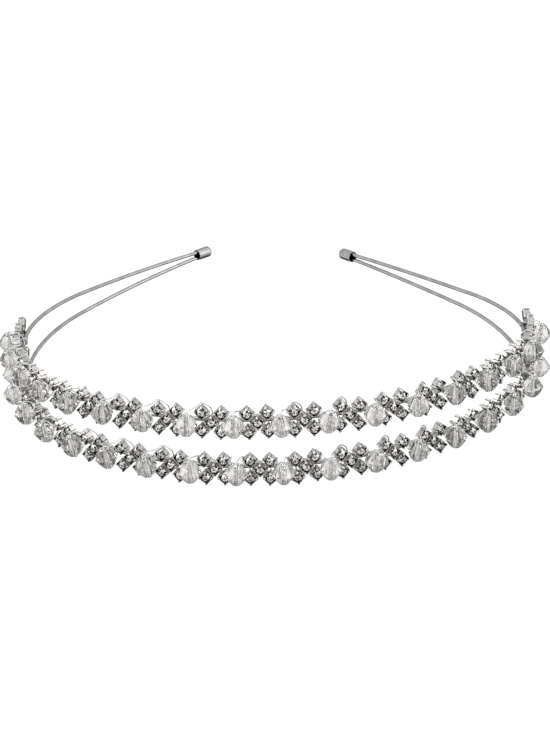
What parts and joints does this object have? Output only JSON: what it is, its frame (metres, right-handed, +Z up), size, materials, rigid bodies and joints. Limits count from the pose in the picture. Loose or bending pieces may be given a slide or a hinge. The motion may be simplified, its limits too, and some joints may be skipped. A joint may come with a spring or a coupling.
{
  "type": "rhinestone headband",
  "caption": "Open sprung headband of thin silver wire that ends in small caps, its front covered by a double row of cross-shaped clear stone clusters and faceted crystal beads.",
  "frame": {"origin": "under the middle of the band's bounding box, on the surface that it lies on", "axes": "+Z up from the surface that the band lies on; +X along the width, to the wearer's left as the band is worn with the lower row nearer the face; +Y from the decorated front towards the two open ends"},
  "size_m": [0.1592, 0.1524, 0.0235],
  "materials": {
    "band_metal": "bright silver-plated wire",
    "cup_metal": "bright silver-plated claw cups",
    "binding_metal": "bright fine wire",
    "cut_stones": "faceted, foil-backed",
    "crystal_beads": "faceted, clear"
  },
  "bodies": {
    "root": {"lower_band_wire": "band_metal", "upper_band_wire": "band_metal", "left_end_cap": "band_metal", "right_end_cap": "band_metal", "lower_crosses": "cup_metal", "upper_crosses": "cup_metal", "lower_stones": "cut_stones", "upper_stones": "cut_stones", "lower_binding_wire": "binding_metal", "upper_binding_wire": "binding_metal", "lower_bead_01": "crystal_beads", "lower_bead_02": "crystal_beads", "lower_bead_03": "crystal_beads", "lower_bead_04": "crystal_beads", "lower_bead_05": "crystal_beads", "lower_bead_06": "crystal_beads", "lower_bead_07": "crystal_beads", "lower_bead_08": "crystal_beads", "lower_bead_09": "crystal_beads", "lower_bead_10": "crystal_beads", "lower_bead_11": "crystal_beads", "lower_bead_12": "crystal_beads", "lower_bead_13": "crystal_beads", "lower_bead_14": "crystal_beads", "lower_bead_15": "crystal_beads", "lower_bead_16": "crystal_beads", "lower_bead_17": "crystal_beads", "lower_bead_18": "crystal_beads", "upper_bead_01": "crystal_beads", "upper_bead_02": "crystal_beads", "upper_bead_03": "crystal_beads", "upper_bead_04": "crystal_beads", "upper_bead_05": "crystal_beads", "upper_bead_06": "crystal_beads", "upper_bead_07": "crystal_beads", "upper_bead_08": "crystal_beads", "upper_bead_09": "crystal_beads", "upper_bead_10": "crystal_beads", "upper_bead_11": "crystal_beads", "upper_bead_12": "crystal_beads", "upper_bead_13": "crystal_beads", "upper_bead_14": "crystal_beads", "upper_bead_15": "crystal_beads", "upper_bead_16": "crystal_beads", "upper_bead_17": "crystal_beads", "upper_bead_18": "crystal_beads"}
  },
  "joints": []
}
